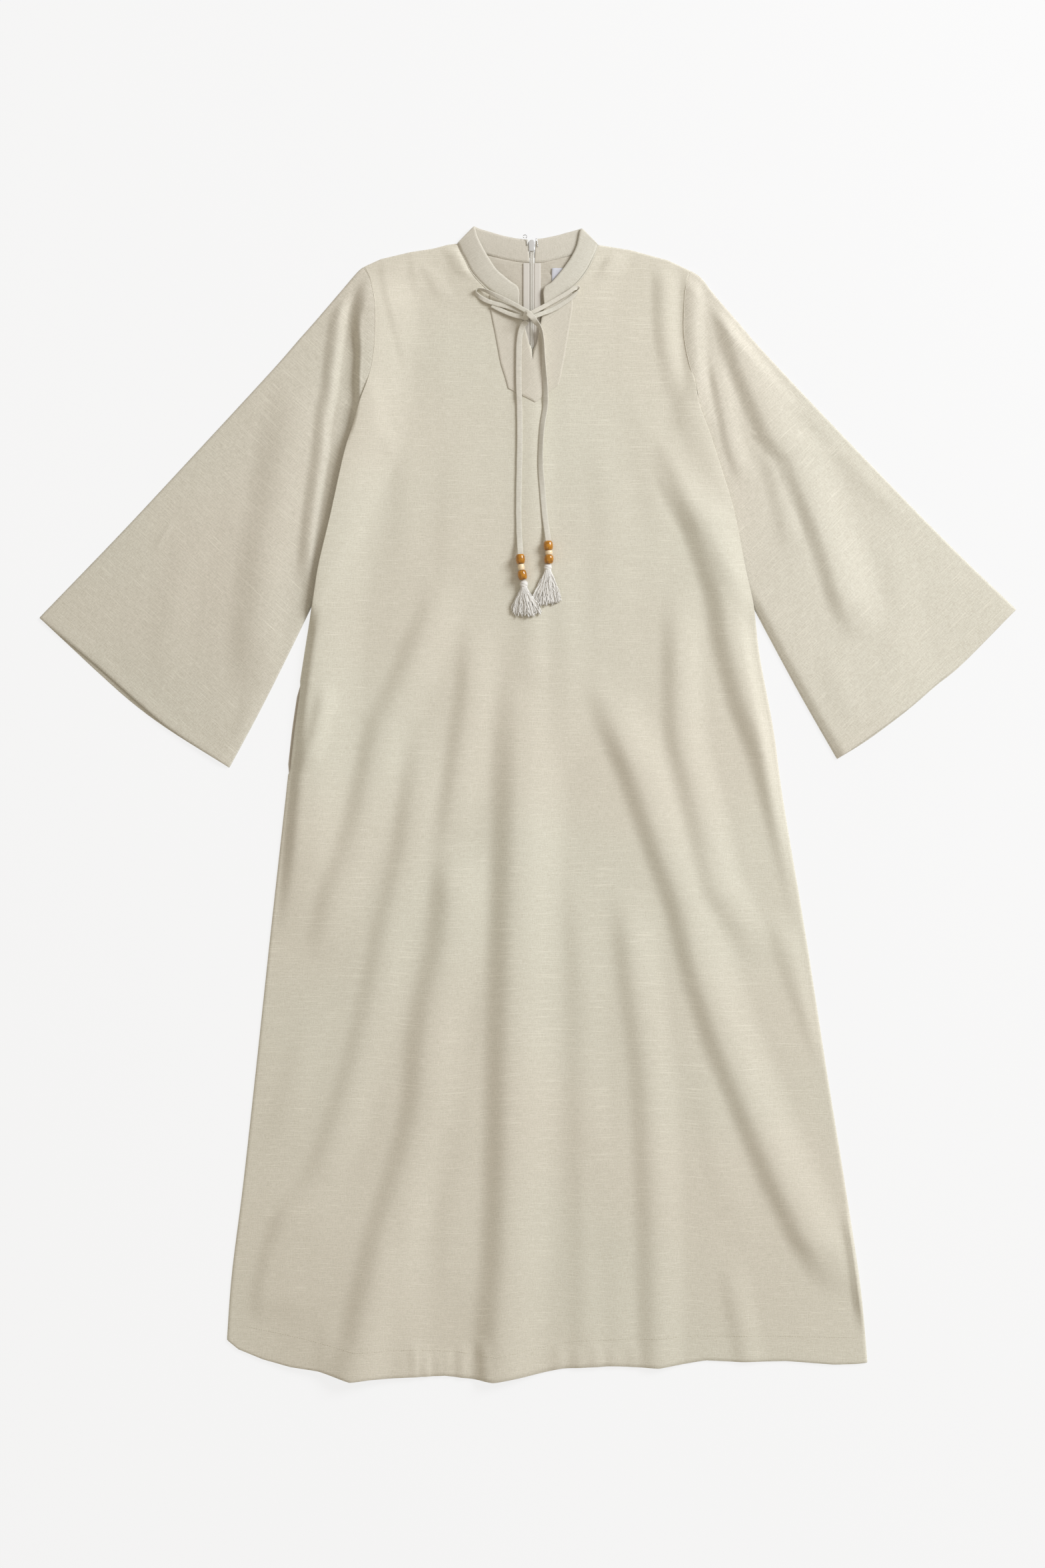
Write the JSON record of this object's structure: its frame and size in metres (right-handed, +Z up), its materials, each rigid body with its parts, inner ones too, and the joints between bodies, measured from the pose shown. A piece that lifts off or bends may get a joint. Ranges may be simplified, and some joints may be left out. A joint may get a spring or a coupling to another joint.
{
  "type": "abaya",
  "caption": "Loose full-length linen abaya laid flat, with stand collar, wide sleeves, closed back zip and beaded neck ties.",
  "frame": {"origin": "middle of the laid-out garment's plan, on the surface that it lies on", "axes": "+Z up off the surface, out of the garment's front; +Y from the hem to the collar; +X to the viewer's right"},
  "size_m": [1.2019, 1.4182, 0.0214],
  "materials": {
    "linen": "matte slub weave",
    "white_cloth": "smooth woven label",
    "zip_tape": "woven tape",
    "nylon_coil": "nylon coil",
    "enamelled_metal": "satin enamel",
    "wire_steel": "bright wire",
    "brown_bead": "glossy caramel",
    "cream_bead": "satin cream",
    "yarn": "twisted yarn"
  },
  "bodies": {
    "garment": {"front_panel": "linen", "back_left": "linen", "back_right": "linen", "sleeve_left": "linen", "sleeve_right": "linen", "collar_left": "linen", "collar_right": "linen", "front_bib": "linen", "tie_tail_left": "linen", "tie_tail_right": "linen", "tie_loop_left": "linen", "tie_loop_right": "linen", "tie_lead_left": "linen", "tie_knot": "linen", "neck_label": "white_cloth", "zip_tape_left": "zip_tape", "bead_left_upper": "brown_bead", "bead_left_lower": "brown_bead", "bead_left_ring": "cream_bead", "tassel_left": "yarn", "zip_tape_right": "zip_tape", "bead_right_upper": "brown_bead", "bead_right_lower": "brown_bead", "bead_right_ring": "cream_bead", "tassel_right": "yarn", "zip_coil": "nylon_coil", "zip_slider": "enamelled_metal", "eye_wire": "wire_steel", "hook_wire": "wire_steel"},
    "zip_pull": {"zip_pull_tab": "enamelled_metal"}
  },
  "joints": [
    {"name": "zip_pull_hinge", "type": "hinge", "parent": "garment", "child": "zip_pull", "pos_m": [0.00492, 0.68674, 0.0015], "axis": [1, 0, 0], "range_deg": [0, 170]}
  ]
}
